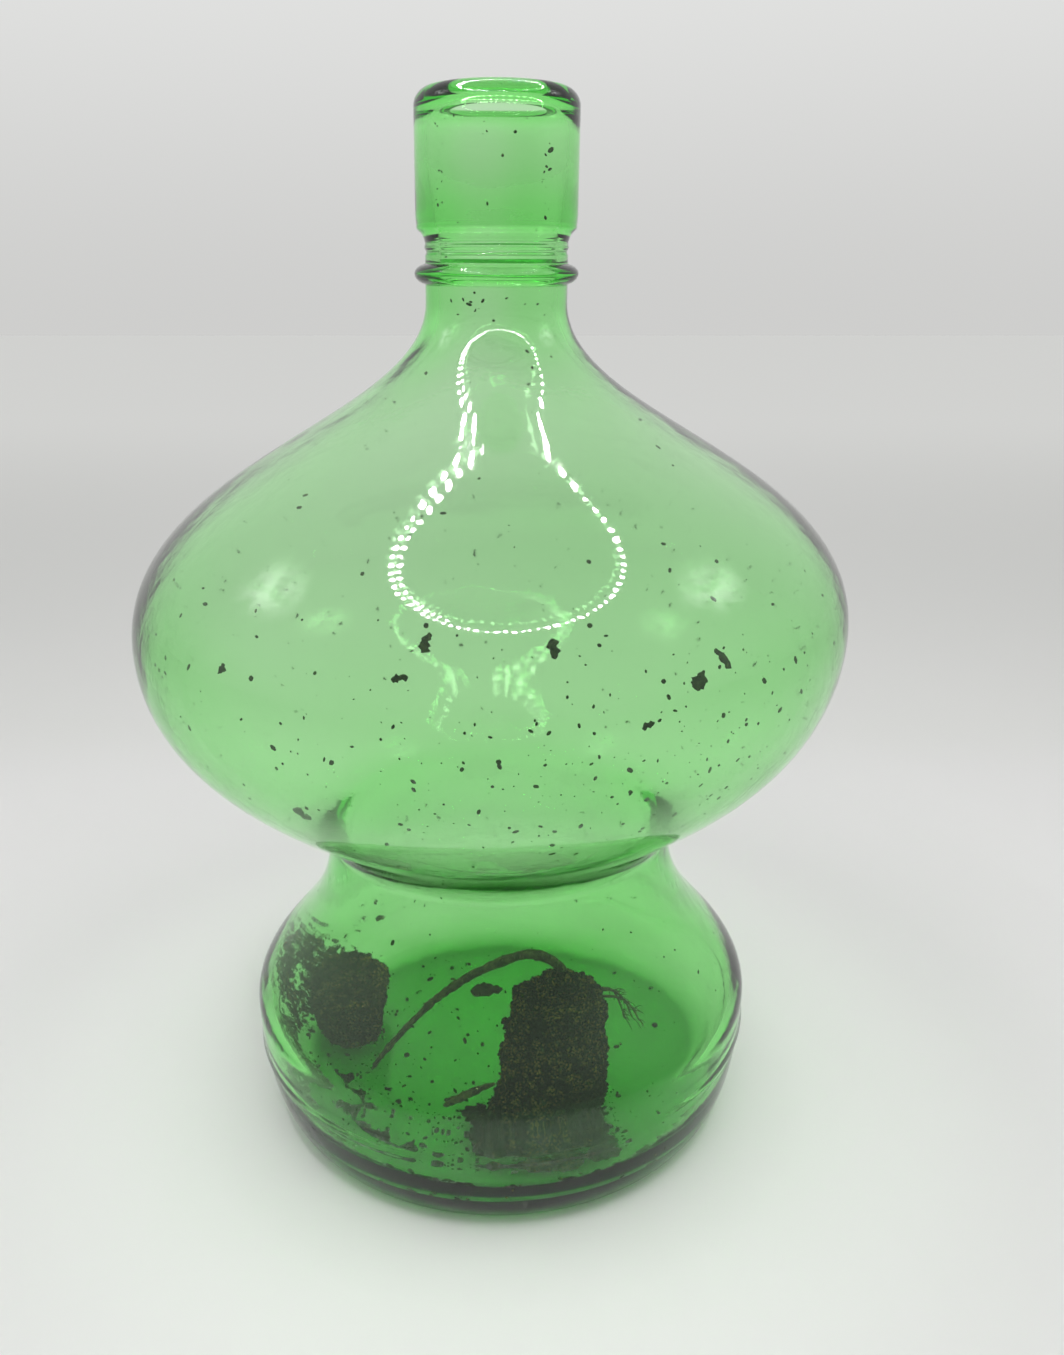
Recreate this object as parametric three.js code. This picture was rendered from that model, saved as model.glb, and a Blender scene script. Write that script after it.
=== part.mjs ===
// A one-piece blown glass vessel, used as a bottle garden, with the dried remains of its planting inside.
// It stands on a broad foot chamber, narrows to a waist, swells into a wide bulb and ends in a thick collar.
// Millimetres, +Z up, origin on the vessel's axis at the surface it stands on.
import * as THREE from "three";
import { mergeVertices } from "three/addons/utils/BufferGeometryUtils.js";

// ---- driving dimensions ----
const CLEARANCE = 0.3; // gap kept between pieces that touch
const GLASS_SIDES = 48; // flats round the vessel
const CURVE_STEPS = 8; // steps along each curve of the glass outline

const OVERALL_HEIGHT = 400;
const COLLAR_LENGTH = 48; // from the top of the neck to the top of the lip
const NECK_LENGTH = 21; // straight part, from the shoulder to the collar
const CHAMBER_RADIUS = 105.5; // widest part of the foot chamber
const CHAMBER_HEIGHT = 51;
const WAIST_RADIUS = 71;
const WAIST_HEIGHT = 122;
const BULB_RADIUS = 136;
const BULB_HEIGHT = 214;
const NECK_RADIUS = 25.5;
const HEEL_INSET = 16.5; // from the chamber's widest part in to the flat that stands on the table
const HEEL_ROLL = 12;
const HEEL_REACH = 26;

const CHAMBER_WALL = 5;
const WAIST_WALL = 4.5;
const BULB_WALL = 3.5;
const NECK_WALL = 5;
const FLOOR_THICKNESS = 10;
const INNER_HEEL_INSET = 5; // from the edge of the flat foot in to the edge of the inside floor
const INNER_HEEL_ROLL = 9;
const INNER_HEEL_REACH = 21;

const LIP_INTURN = 4; // how far the rolled lip narrows the neck's bore
const COLLAR_PROUD = 3.1; // collar's face out from the neck's
const COLLAR_WALL = 5;
const COLLAR_FOOT_PROUD = 0.4; // where the collar's lower edge is tooled in to the neck
const COLLAR_CHAMFER_HEIGHT = 4;
const LIP_HEIGHT = 6; // from the roll's widest part to the top
const LIP_FALL = 9; // under the roll, back out to the collar's bore
const RING_FALL = 12; // from the collar down to the middle of the bead round the neck
const RING_PROUD = 3.7;
const RING_HALF_HEIGHT = 3.6;

const SOIL_ROUGHNESS = 0.02; // wave on a plug's side, as a share of its radius
const PLUG_HEIGHT = 64;
const PLUG_FOOT_RADIUS = 23;
const PLUG_TOP_RADIUS = 18.5;
const PLUG_ROUND = 23; // degrees to the right of the front
const PLUG_WALL_GAP = 4.5; // from the plug's foot to the edge of the floor
const CROWN_RADIUS = 8;
const CROWN_HEIGHT = 8.5;
const CROWN_OFF_CENTRE = 3;
const STEM_RADIUS = 1.5;
const STEM_ARCH = 3.5; // how far the stem rises before it bends over
const TWIG_RADIUS = 1.3;
const TWIG_LENGTH = 20;
const ROOT_RADIUS = 0.6;
const LEAF_LENGTH = 13;
const LEAF_WIDTH = 5;
const LEAF_THICKNESS = 0.8;

const LYING_LENGTH = 41;
const LYING_SMALL_RADIUS = 14;
const LYING_LARGE_RADIUS = 17.5;
const LYING_ROUND = -112; // degrees from the front to the middle of the large end
const LYING_WALL_GAP = 1.6;
const LYING_TURN = 98; // degrees from +X that the axis points, from the small end to the large

const DRIFT_WALL_GAP = 3; // from the edge of the floor
const DRIFT_WIDTH = 8;
const DRIFT_HEIGHT = 3;
const DRIFT_START = -70; // degrees from the front
const DRIFT_END = -24;
const FLAKE_THICKNESS = 0.8;
const FLAKE_STANDOFF = 1; // clear of the curved wall under the whole flake
const FLAKE_SLOPE_SPAN = 3; // above and below a flake, where the wall's slope is read

const DEGREE = Math.PI / 180;

// ---- heights and radii that follow from these ----
const neckTop = OVERALL_HEIGHT - COLLAR_LENGTH;
const shoulderTop = neckTop - NECK_LENGTH;
const footRadius = CHAMBER_RADIUS - HEEL_INSET;
const floorRadius = footRadius - INNER_HEEL_INSET;
const floorTop = FLOOR_THICKNESS + CLEARANCE;
const neckBore = NECK_RADIUS - NECK_WALL;

const flaskParts = new THREE.Group();

// ---- materials ----
const greenGlass = new THREE.MeshStandardMaterial({
  color: 0x8fca90, roughness: 0.05, metalness: 0, transparent: true, opacity: 0.4,
});
const drySoil = new THREE.MeshStandardMaterial({ color: 0x3b2f20, roughness: 0.95, metalness: 0 });
const dryStem = new THREE.MeshStandardMaterial({ color: 0x5b5238, roughness: 0.9, metalness: 0 });
const dryLeaf = new THREE.MeshStandardMaterial({ color: 0x2e3320, roughness: 0.85, metalness: 0 });

// ---- shared shape functions ----
function addPiece(name, geometry, material, place = [0, 0, 0]) {
  const piece = new THREE.Mesh(geometry, material);
  piece.name = name;
  piece.position.set(...place);
  flaskParts.add(piece);
  return piece;
}

// One outline curve between two stations of [radius, height], upright at both ends.
function swell(from, to, reachFrom, reachTo) {
  const curve = new THREE.CubicBezierCurve(
    new THREE.Vector2(from[0], from[1]),
    new THREE.Vector2(from[0], from[1] + reachFrom),
    new THREE.Vector2(to[0], to[1] - reachTo),
    new THREE.Vector2(to[0], to[1]),
  );
  return curve.getPoints(CURVE_STEPS);
}

// The heel: leaves the flat level and meets the widest part of the chamber upright.
function heel(flatRadius, flatHeight, roll, drop) {
  const curve = new THREE.CubicBezierCurve(
    new THREE.Vector2(flatRadius, flatHeight),
    new THREE.Vector2(flatRadius + roll, flatHeight),
    new THREE.Vector2(drop.radius, CHAMBER_HEIGHT - drop.reach),
    new THREE.Vector2(drop.radius, CHAMBER_HEIGHT),
  );
  return curve.getPoints(CURVE_STEPS);
}

// Everything from the chamber's widest part up to the neck, for one face of the wall.
function wallFace(chamberInset, waistInset, bulbInset, neckInset) {
  const chamber = [CHAMBER_RADIUS - chamberInset, CHAMBER_HEIGHT];
  const waist = [WAIST_RADIUS - waistInset, WAIST_HEIGHT];
  const bulb = [BULB_RADIUS - bulbInset, BULB_HEIGHT];
  const neck = [NECK_RADIUS - neckInset, shoulderTop];
  const waistToBulb = BULB_HEIGHT - WAIST_HEIGHT;
  const bulbToNeck = shoulderTop - BULB_HEIGHT;
  const chamberToWaist = WAIST_HEIGHT - CHAMBER_HEIGHT;
  return [
    ...swell(chamber, waist, chamberToWaist * 0.25, chamberToWaist * 0.56),
    ...swell(waist, bulb, waistToBulb * 0.22, waistToBulb * 0.61).slice(1),
    ...swell(bulb, neck, bulbToNeck * 0.52, bulbToNeck * 0.35).slice(1),
  ];
}

function turned(outline, sides) {
  const geometry = new THREE.LatheGeometry(outline, sides);
  geometry.rotateX(Math.PI / 2);
  return geometry;
}

// Radius of a wall face at a height, read along its outline.
function radiusAt(outline, height) {
  const upper = outline.findIndex((point) => point.y >= height);
  const low = outline[upper - 1];
  const high = outline[upper];
  const share = (height - low.y) / (high.y - low.y);
  return low.x + share * (high.x - low.x);
}

// A place on the floor: degrees round from the front, which is -Y, and distance from the axis.
function floorPlace(round, distance) {
  return [distance * Math.sin(round * DEGREE), -distance * Math.cos(round * DEGREE)];
}

// A crumbling lump of soil: a turned outline whose surface is pushed in and out by slow waves.
function lump(outline, sides, roughness, phase) {
  const geometry = new THREE.LatheGeometry(outline, sides);
  geometry.deleteAttribute("normal");
  geometry.deleteAttribute("uv");
  geometry.rotateX(Math.PI / 2);
  const merged = mergeVertices(geometry, 1e-3);
  const position = merged.attributes.position;
  for (let i = 0; i < position.count; i += 1) {
    const x = position.getX(i);
    const y = position.getY(i);
    const turn = Math.atan2(y, x);
    const rise = position.getZ(i);
    const wave = Math.sin(3 * turn + phase + rise * 0.13) + 0.6 * Math.sin(5 * turn - phase + rise * 0.31);
    const scale = 1 + roughness * wave;
    position.setXY(i, x * scale, y * scale);
  }
  return merged;
}

// A moulded plug. A taper of 1 is a straight cone, and a higher one keeps its width nearly to the top.
function plugOutline(height, bottomRadius, topRadius, taper) {
  const side = [0.05, 0.3, 0.6, 0.85, 0.97].map((share) => new THREE.Vector2(
    bottomRadius + (topRadius - bottomRadius) * share ** taper,
    height * share,
  ));
  return [
    new THREE.Vector2(0, 0),
    new THREE.Vector2(bottomRadius * 0.96, 0),
    ...side,
    new THREE.Vector2(topRadius * 0.88, height),
    new THREE.Vector2(0, height),
  ];
}

// How far the waves of a lump reach past its outline, as a share of its radius.
const largestWave = 1.6;

function strand(points, radius, sides, steps) {
  const path = new THREE.CatmullRomCurve3(points.map((point) => new THREE.Vector3(...point)));
  const section = new THREE.Shape();
  section.moveTo(radius, 0);
  for (let side = 1; side < sides; side += 1) {
    const turn = (side / sides) * 2 * Math.PI;
    section.lineTo(radius * Math.cos(turn), radius * Math.sin(turn));
  }
  section.closePath();
  return new THREE.ExtrudeGeometry(section, { steps, bevelEnabled: false, extrudePath: path });
}

// ---- glass vessel ----
const outerFace = wallFace(0, 0, 0, 0);
const innerFace = wallFace(CHAMBER_WALL, WAIST_WALL, BULB_WALL, NECK_WALL);
const outerHeel = heel(footRadius, 0, HEEL_ROLL, { radius: CHAMBER_RADIUS, reach: HEEL_REACH });
const innerHeel = heel(floorRadius, FLOOR_THICKNESS, INNER_HEEL_ROLL, {
  radius: CHAMBER_RADIUS - CHAMBER_WALL,
  reach: INNER_HEEL_REACH,
});
const innerWall = [...innerHeel, ...innerFace.slice(1)];
const vesselOutline = [
  new THREE.Vector2(0, 0),
  ...outerHeel,
  ...outerFace.slice(1),
  new THREE.Vector2(NECK_RADIUS, neckTop),
  new THREE.Vector2(neckBore, neckTop),
  ...innerWall.slice().reverse(),
  new THREE.Vector2(0, FLOOR_THICKNESS),
];
addPiece("glass_body", turned(vesselOutline, GLASS_SIDES), greenGlass);

// ---- collar laid on the neck, its lip rolled inwards ----
const collarRadius = NECK_RADIUS + COLLAR_PROUD;
const mouthRadius = neckBore - LIP_INTURN;
const collarFoot = neckTop + CLEARANCE;
const collarOutline = [
  new THREE.Vector2(neckBore, collarFoot),
  new THREE.Vector2(NECK_RADIUS + COLLAR_FOOT_PROUD, collarFoot),
  new THREE.Vector2(collarRadius, collarFoot + COLLAR_CHAMFER_HEIGHT),
];
const lipMiddle = (collarRadius + mouthRadius) / 2;
const lipHalfWidth = (collarRadius - mouthRadius) / 2;
const rollHeight = OVERALL_HEIGHT - LIP_HEIGHT;
const lipSteps = 8;
for (let step = 0; step <= lipSteps; step += 1) {
  const turn = (step / lipSteps) * Math.PI;
  collarOutline.push(new THREE.Vector2(
    lipMiddle + lipHalfWidth * Math.cos(turn),
    rollHeight + LIP_HEIGHT * Math.sin(turn),
  ));
}
const boreRadius = collarRadius - COLLAR_WALL;
const underLip = new THREE.CubicBezierCurve(
  new THREE.Vector2(mouthRadius, rollHeight),
  new THREE.Vector2(mouthRadius, rollHeight - LIP_FALL * 0.5),
  new THREE.Vector2(boreRadius, rollHeight - LIP_FALL * 0.4),
  new THREE.Vector2(boreRadius, rollHeight - LIP_FALL),
);
collarOutline.push(...underLip.getPoints(4).slice(1));
collarOutline.push(new THREE.Vector2(boreRadius, collarFoot + COLLAR_CHAMFER_HEIGHT));
collarOutline.push(collarOutline[0].clone());
addPiece("applied_collar", turned(collarOutline, GLASS_SIDES), greenGlass);

// ---- bead of glass trailed round the neck ----
const ringInner = NECK_RADIUS + CLEARANCE;
const ringHeight = neckTop - RING_FALL;
const ringOutline = [];
const ringSteps = 8;
for (let step = 0; step <= ringSteps; step += 1) {
  const turn = (step / ringSteps - 0.5) * Math.PI;
  ringOutline.push(new THREE.Vector2(
    ringInner + (RING_PROUD + NECK_RADIUS - ringInner) * Math.cos(turn),
    ringHeight + RING_HALF_HEIGHT * Math.sin(turn),
  ));
}
ringOutline.push(ringOutline[0].clone());
addPiece("string_ring", turned(ringOutline, GLASS_SIDES), greenGlass);

// ---- root plug that stands on the floor, with what is left of its plant ----
const plugDistance = floorRadius - PLUG_FOOT_RADIUS - PLUG_WALL_GAP;
const [plugX, plugY] = floorPlace(PLUG_ROUND, plugDistance);
const plugTop = floorTop + PLUG_HEIGHT;
const plugTaper = 3;
addPiece(
  "standing_root_plug",
  lump(plugOutline(PLUG_HEIGHT, PLUG_FOOT_RADIUS, PLUG_TOP_RADIUS, plugTaper), 24, SOIL_ROUGHNESS, 0.7),
  drySoil,
  [plugX, plugY, floorTop],
);

const crownX = plugX + CROWN_OFF_CENTRE;
const crownY = plugY + 1;
const crownTop = plugTop + CLEARANCE + CROWN_HEIGHT;
const crownOutline = [
  new THREE.Vector2(0, 0),
  new THREE.Vector2(CROWN_RADIUS * 0.9, 0),
  new THREE.Vector2(CROWN_RADIUS, CROWN_HEIGHT * 0.4),
  new THREE.Vector2(CROWN_RADIUS * 0.7, CROWN_HEIGHT * 0.8),
  new THREE.Vector2(CROWN_RADIUS * 0.3, CROWN_HEIGHT),
  new THREE.Vector2(0, CROWN_HEIGHT),
];
addPiece("dead_crown", lump(crownOutline, 14, 0.05, 2.1), drySoil, [crownX, crownY, plugTop + CLEARANCE]);

// ---- root plug that has fallen over against the wall ----
// Its lower side lies level on the floor, so its axis leans by the cone's half angle.
const wavedLargeRadius = LYING_LARGE_RADIUS * (1 + SOIL_ROUGHNESS * largestWave);
const lyingLean = Math.asin((LYING_LARGE_RADIUS - LYING_SMALL_RADIUS) / LYING_LENGTH);
const largeEndHeight = floorTop + wavedLargeRadius;
const smallEndHeight = largeEndHeight - (LYING_LARGE_RADIUS - LYING_SMALL_RADIUS);
const largeEndDistance = radiusAt(innerWall, largeEndHeight) - wavedLargeRadius - LYING_WALL_GAP;
const [largeEndX, largeEndY] = floorPlace(LYING_ROUND, largeEndDistance);
const levelLength = LYING_LENGTH * Math.cos(lyingLean);
const smallEndX = largeEndX - levelLength * Math.cos(LYING_TURN * DEGREE);
const smallEndY = largeEndY - levelLength * Math.sin(LYING_TURN * DEGREE);
const lyingPlug = addPiece(
  "lying_root_plug",
  lump(plugOutline(LYING_LENGTH, LYING_SMALL_RADIUS, LYING_LARGE_RADIUS, 1), 24, SOIL_ROUGHNESS, 1.9),
  drySoil,
);
lyingPlug.rotation.set(0, Math.PI / 2 - lyingLean, LYING_TURN * DEGREE, "ZYX");
lyingPlug.position.set(smallEndX, smallEndY, smallEndHeight);

// ---- stem: leaves the top of the crown, arches over and hangs down beside the plug that lies ----
const stemStart = [crownX + 2, crownY, crownTop + CLEARANCE + STEM_RADIUS];
const pastLeaf = [plugX - PLUG_TOP_RADIUS - LEAF_LENGTH * 0.8, crownY + CROWN_RADIUS, plugTop + 3];
const stemEnd = [smallEndX + 9, smallEndY - LYING_SMALL_RADIUS - 5, floorTop + 5];
const stemBends = [
  { along: 0, drop: 0 },
  { along: 0.28, drop: 0.19 },
  { along: 0.51, drop: 0.42 },
  { along: 0.81, drop: 0.77 },
  { along: 1, drop: 1 },
];
const stemPoints = [
  stemStart,
  [crownX - CROWN_RADIUS * 0.9, crownY + 3, stemStart[2] + STEM_ARCH],
  [crownX - CROWN_RADIUS * 2, crownY + 5, stemStart[2] + STEM_ARCH * 0.7],
  ...stemBends.map((bend) => [
    pastLeaf[0] + (stemEnd[0] - pastLeaf[0]) * bend.along,
    pastLeaf[1] + (stemEnd[1] - pastLeaf[1]) * bend.along,
    pastLeaf[2] + (stemEnd[2] - pastLeaf[2]) * bend.drop,
  ]),
];
addPiece("bent_stem", strand(stemPoints, STEM_RADIUS, 8, 36), dryStem);

// ---- twig broken off low on the standing plug's left side ----
const twigX = plugX - PLUG_FOOT_RADIUS - 1;
const twigY = plugY - PLUG_FOOT_RADIUS * 0.35;
const twigHeight = floorTop + PLUG_HEIGHT * 0.37;
const twigPoints = [
  [twigX, twigY, twigHeight],
  [twigX - TWIG_LENGTH * 0.5, twigY - TWIG_LENGTH * 0.2, twigHeight - TWIG_LENGTH * 0.07],
  [twigX - TWIG_LENGTH, twigY - TWIG_LENGTH * 0.35, twigHeight - TWIG_LENGTH * 0.3],
];
addPiece("broken_twig", strand(twigPoints, TWIG_RADIUS, 8, 8), dryStem);

// ---- leaf scrap beside the standing plug's top ----
const leafOutline = new THREE.Shape();
leafOutline.moveTo(-LEAF_LENGTH / 2, 0);
leafOutline.quadraticCurveTo(0, LEAF_WIDTH * 1.1, LEAF_LENGTH / 2, 0);
leafOutline.quadraticCurveTo(0, -LEAF_WIDTH * 0.9, -LEAF_LENGTH / 2, 0);
const leafGeometry = new THREE.ExtrudeGeometry(leafOutline, {
  depth: LEAF_THICKNESS, bevelEnabled: false, curveSegments: 6,
});
const leaf = addPiece("leaf_scrap", leafGeometry, dryLeaf);
leaf.position.set(plugX - PLUG_TOP_RADIUS - LEAF_LENGTH / 2 - 1.5, plugY + 1, plugTop - 1);
leaf.rotation.set(0.5, 0.15, 0);

// ---- roots that have come away from the right of the standing plug's top ----
const rootStart = plugX + PLUG_TOP_RADIUS * (1 + SOIL_ROUGHNESS * largestWave) + ROOT_RADIUS + 1.2;
const rootRuns = [
  { lift: -2, spread: 2, reach: 10, fall: 15 },
  { lift: -4, spread: 5, reach: 7, fall: 17 },
  { lift: -1, spread: -2, reach: 12, fall: 11 },
];
rootRuns.forEach((run, index) => {
  const rootPoints = [
    [rootStart, plugY + run.spread, plugTop + run.lift],
    [rootStart + run.reach * 0.6, plugY + run.spread * 1.3, plugTop + run.lift - run.fall * 0.35],
    [rootStart + run.reach, plugY + run.spread * 2, plugTop + run.lift - run.fall],
  ];
  addPiece(`root_strand_${index + 1}`, strand(rootPoints, ROOT_RADIUS, 6, 8), dryStem);
});

// ---- loose soil along the inside edge of the floor ----
const driftOuter = floorRadius - DRIFT_WALL_GAP;
const driftOutline = new THREE.Shape();
const driftStart = (DRIFT_START - 90) * DEGREE;
const driftEnd = (DRIFT_END - 90) * DEGREE;
driftOutline.absarc(0, 0, driftOuter, driftStart, driftEnd, false);
driftOutline.absarc(0, 0, driftOuter - DRIFT_WIDTH, driftEnd, driftStart, true);
driftOutline.closePath();
const driftGeometry = new THREE.ExtrudeGeometry(driftOutline, {
  depth: DRIFT_HEIGHT, bevelEnabled: false, curveSegments: 10,
});
addPiece("soil_drift", driftGeometry, drySoil, [0, 0, floorTop]);

// ---- crumbs: four along the front of the floor, two fallen from the right of the standing plug ----
function floorCrumb(radius, round, fromEdge) {
  return { radius, place: floorPlace(round, floorRadius - fromEdge) };
}

function plugCrumb(radius, turn, fromPlug) {
  const distance = PLUG_FOOT_RADIUS + fromPlug;
  return {
    radius,
    place: [plugX + distance * Math.cos(turn * DEGREE), plugY + distance * Math.sin(turn * DEGREE)],
  };
}

const crumbs = [
  floorCrumb(2.6, -17.7, 5.3),
  floorCrumb(1.9, -10.8, 3.6),
  floorCrumb(2.2, -6.3, 11.6),
  plugCrumb(2.4, -15, 7),
  plugCrumb(1.8, -33, 3.4),
  floorCrumb(2.3, -41.3, 17.4),
];
crumbs.forEach((crumb, index) => {
  const outline = [
    new THREE.Vector2(0, 0),
    new THREE.Vector2(crumb.radius * 0.8, 0),
    new THREE.Vector2(crumb.radius, crumb.radius * 0.6),
    new THREE.Vector2(crumb.radius * 0.6, crumb.radius * 1.3),
    new THREE.Vector2(0, crumb.radius * 1.4),
  ];
  addPiece(`crumb_${index + 1}`, lump(outline, 9, 0.08, index), drySoil, [...crumb.place, floorTop]);
});

// ---- flakes stuck to the inside of the bulb ----
// Degrees round from the front, rise above the bulb's widest part, length, width and slant.
const flakes = [
  { round: -8, rise: 28, length: 5.4, width: 3, slant: 70 },
  { round: 9, rise: 26, length: 5.2, width: 2.6, slant: 95 },
  { round: 29, rise: 13, length: 5.6, width: 4.2, slant: 60 },
  { round: 33.5, rise: 17, length: 7.6, width: 2.2, slant: 120 },
  { round: -11, rise: 18, length: 4.6, width: 2.2, slant: 10 },
  { round: -38, rise: 13, length: 3.6, width: 2, slant: 60 },
  { round: -28, rise: -33, length: 6.2, width: 2.6, slant: -40 },
  { round: 21, rise: 2, length: 3.8, width: 1.8, slant: 20 },
];
flakes.forEach((flake, index) => {
  const height = BULB_HEIGHT + flake.rise;
  const outline = new THREE.Shape();
  outline.moveTo(-flake.length / 2, -flake.width * 0.2);
  outline.lineTo(flake.length * 0.1, -flake.width / 2);
  outline.lineTo(flake.length / 2, -flake.width * 0.1);
  outline.lineTo(flake.length * 0.2, flake.width / 2);
  outline.lineTo(-flake.length * 0.35, flake.width * 0.35);
  outline.closePath();
  const geometry = new THREE.ExtrudeGeometry(outline, { depth: FLAKE_THICKNESS, bevelEnabled: false });
  geometry.rotateZ(flake.slant * DEGREE);
  const below = radiusAt(innerWall, height - FLAKE_SLOPE_SPAN);
  const above = radiusAt(innerWall, height + FLAKE_SLOPE_SPAN);
  const lean = Math.atan2(above - below, 2 * FLAKE_SLOPE_SPAN);
  geometry.rotateX(Math.PI / 2);
  geometry.translate(0, FLAKE_STANDOFF + FLAKE_THICKNESS, 0);
  geometry.rotateX(lean);
  geometry.translate(0, -radiusAt(innerWall, height), height);
  geometry.rotateZ(flake.round * DEGREE);
  addPiece(`wall_flake_${index + 1}`, geometry, dryLeaf);
});

export default flaskParts;
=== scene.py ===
import math
import random

import bmesh
import bpy
import numpy as np
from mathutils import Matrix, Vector, noise


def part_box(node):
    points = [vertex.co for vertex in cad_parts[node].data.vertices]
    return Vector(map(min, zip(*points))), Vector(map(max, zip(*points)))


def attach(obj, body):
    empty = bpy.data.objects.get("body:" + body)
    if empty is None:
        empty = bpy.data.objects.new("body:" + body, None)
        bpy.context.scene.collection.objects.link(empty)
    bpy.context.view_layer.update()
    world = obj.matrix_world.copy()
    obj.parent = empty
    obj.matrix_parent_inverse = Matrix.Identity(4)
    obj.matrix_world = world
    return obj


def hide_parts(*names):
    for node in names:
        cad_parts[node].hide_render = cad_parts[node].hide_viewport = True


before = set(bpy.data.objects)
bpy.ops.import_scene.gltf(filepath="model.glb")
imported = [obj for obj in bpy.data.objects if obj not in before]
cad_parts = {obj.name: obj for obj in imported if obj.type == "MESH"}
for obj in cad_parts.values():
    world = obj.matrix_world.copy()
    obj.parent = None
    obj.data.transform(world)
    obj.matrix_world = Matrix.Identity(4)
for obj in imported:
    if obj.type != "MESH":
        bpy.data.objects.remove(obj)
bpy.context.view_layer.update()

# ---- Camera --------------------------------------------------------------------------------------
# Held close and a little above the shoulder of the vessel, looking down into the foot chamber.
MM = 0.001
camera_data = bpy.data.cameras.new("camera")
camera = bpy.data.objects.new("camera", camera_data)
bpy.context.scene.collection.objects.link(camera)
camera.location = (13.2 * MM, -430 * MM, 342 * MM)
camera.rotation_euler = (math.radians(90 - 19.9), 0, 0)
camera_data.lens = 30
camera_data.clip_start = 0.01
bpy.context.scene.camera = camera

# ---- The vessel ----------------------------------------------------------------------------------
# One piece of green glass, blown in a mould: a foot chamber, a waist, a wide bulb, a neck with a bead
# trailed round it, and a thick collar whose lip is rolled inwards. The foot stands flat on the table.
mouth_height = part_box("applied_collar")[1].z
collar_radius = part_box("applied_collar")[1].x
bulb_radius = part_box("glass_body")[1].x
neck_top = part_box("glass_body")[1].z
ring_middle = (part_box("string_ring")[0].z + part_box("string_ring")[1].z) / 2
neck_height = neck_top - 21 * MM
foot_radius, floor_radius, floor_thickness = 89 * MM, 84 * MM, 10 * MM
chamber_radius, chamber_height = 105.5 * MM, 51 * MM
waist_radius, waist_height = 71 * MM, 122 * MM
bulb_height = 214 * MM
neck_radius = 25.5 * MM
collar_foot_radius = 25.9 * MM
chamber_wall, waist_wall, bulb_wall, neck_wall, collar_wall = 4.6 * MM, 5.4 * MM, 3.5 * MM, 4.2 * MM, 3.8 * MM
mouth_radius, lip_height, lip_fall = 16.5 * MM, 6 * MM, 9 * MM
ring_proud, ring_half_height = 3.8 * MM, 3.4 * MM
seam_height = 36 * MM
vessel_sides = 192


def bend(start, start_handle, end_handle, end, steps):
    """Points of a cubic curve through two stations of (radius, height), the first one left out."""
    out = []
    for step in range(1, steps + 1):
        t = step / steps
        a, b, c, d = (1 - t) ** 3, 3 * t * (1 - t) ** 2, 3 * t * t * (1 - t), t**3
        radius = a * start[0] + b * start_handle[0] + c * end_handle[0] + d * end[0]
        height = a * start[1] + b * start_handle[1] + c * end_handle[1] + d * end[1]
        out.append((radius, height))
    return out


def swell(start, end, start_share, end_share, steps):
    rise = end[1] - start[1]
    start_handle = (start[0], start[1] + rise * start_share)
    end_handle = (end[0], end[1] - rise * end_share)
    return bend(start, start_handle, end_handle, end, steps)


def wall_face(flat_radius, flat_height, roll, reach, insets):
    """One face of the wall, from the edge of the flat up to the neck."""
    flat = (flat_radius, flat_height)
    chamber = (chamber_radius - insets[0], chamber_height)
    waist = (waist_radius - insets[1], waist_height)
    bulb = (bulb_radius - insets[2], bulb_height)
    neck = (neck_radius - insets[3], neck_height)
    heel = bend(flat, (flat_radius + roll, flat_height), (chamber[0], chamber_height - reach), chamber, 44)
    return (
        [flat]
        + heel
        + swell(chamber, waist, 0.25, 0.56, 30)
        + swell(waist, bulb, 0.22, 0.61, 40)
        + swell(bulb, neck, 0.52, 0.35, 50)
    )


outer_face = wall_face(foot_radius, 0, 12 * MM, 26 * MM, (0, 0, 0, 0))
wall_thicknesses = (chamber_wall, waist_wall, bulb_wall, neck_wall)
inner_face = wall_face(floor_radius, floor_thickness, 13 * MM, 27 * MM, wall_thicknesses)

# Outside of the neck and collar: straight neck, bead, tooling lines, tooled step, collar and turned-in lip.
neck_line = []
for step in range(1, 61):
    height = neck_height + (neck_top - neck_height) * step / 60
    off_middle = (height - ring_middle) / ring_half_height
    bead = math.sqrt(1 - off_middle**2) if abs(off_middle) < 1 else 0
    hollow = 0.35 * MM * math.exp(-(((height - ring_middle - 7 * MM) / (2 * MM)) ** 2))
    above = (height - ring_middle) / MM
    tooling = 0.2 * MM * math.sin((above - 5.5) * 2.2) if 5.5 < above < 14 else 0
    neck_line.append((neck_radius + ring_proud * bead**1.3 - hollow + tooling, height))
collar_step = neck_top + 4.3 * MM
collar_line = bend(
    (collar_foot_radius, neck_top),
    (collar_foot_radius, neck_top + 2.2 * MM),
    (collar_radius, collar_step - 2 * MM),
    (collar_radius - 0.3 * MM, collar_step),
    10,
)
roll_height = mouth_height - lip_height
for step in range(1, 13):
    collar_line.append((collar_radius, collar_step + (roll_height - collar_step) * step / 12))
lip_middle = (collar_radius + mouth_radius) / 2
lip_half = (collar_radius - mouth_radius) / 2
for step in range(1, 25):
    turn = 0.86 * math.pi * step / 24
    collar_line.append((lip_middle + lip_half * math.cos(turn), roll_height + lip_height * math.sin(turn)))
outside_rings = len(collar_line)
collar_bore = collar_radius - collar_wall
neck_bore = neck_radius - neck_wall
collar_line += bend(
    collar_line[-1],
    (mouth_radius - 0.3 * MM, mouth_height - 5.2 * MM),
    (mouth_radius + 1 * MM, mouth_height - 5.6 * MM),
    (mouth_radius + 2 * MM, mouth_height - 5.2 * MM),
    8,
)
collar_line += bend(
    collar_line[-1],
    (mouth_radius + 5 * MM, mouth_height - 4.4 * MM),
    (collar_bore, roll_height + 0.5 * MM),
    (collar_bore, roll_height - lip_fall),
    16,
)
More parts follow.
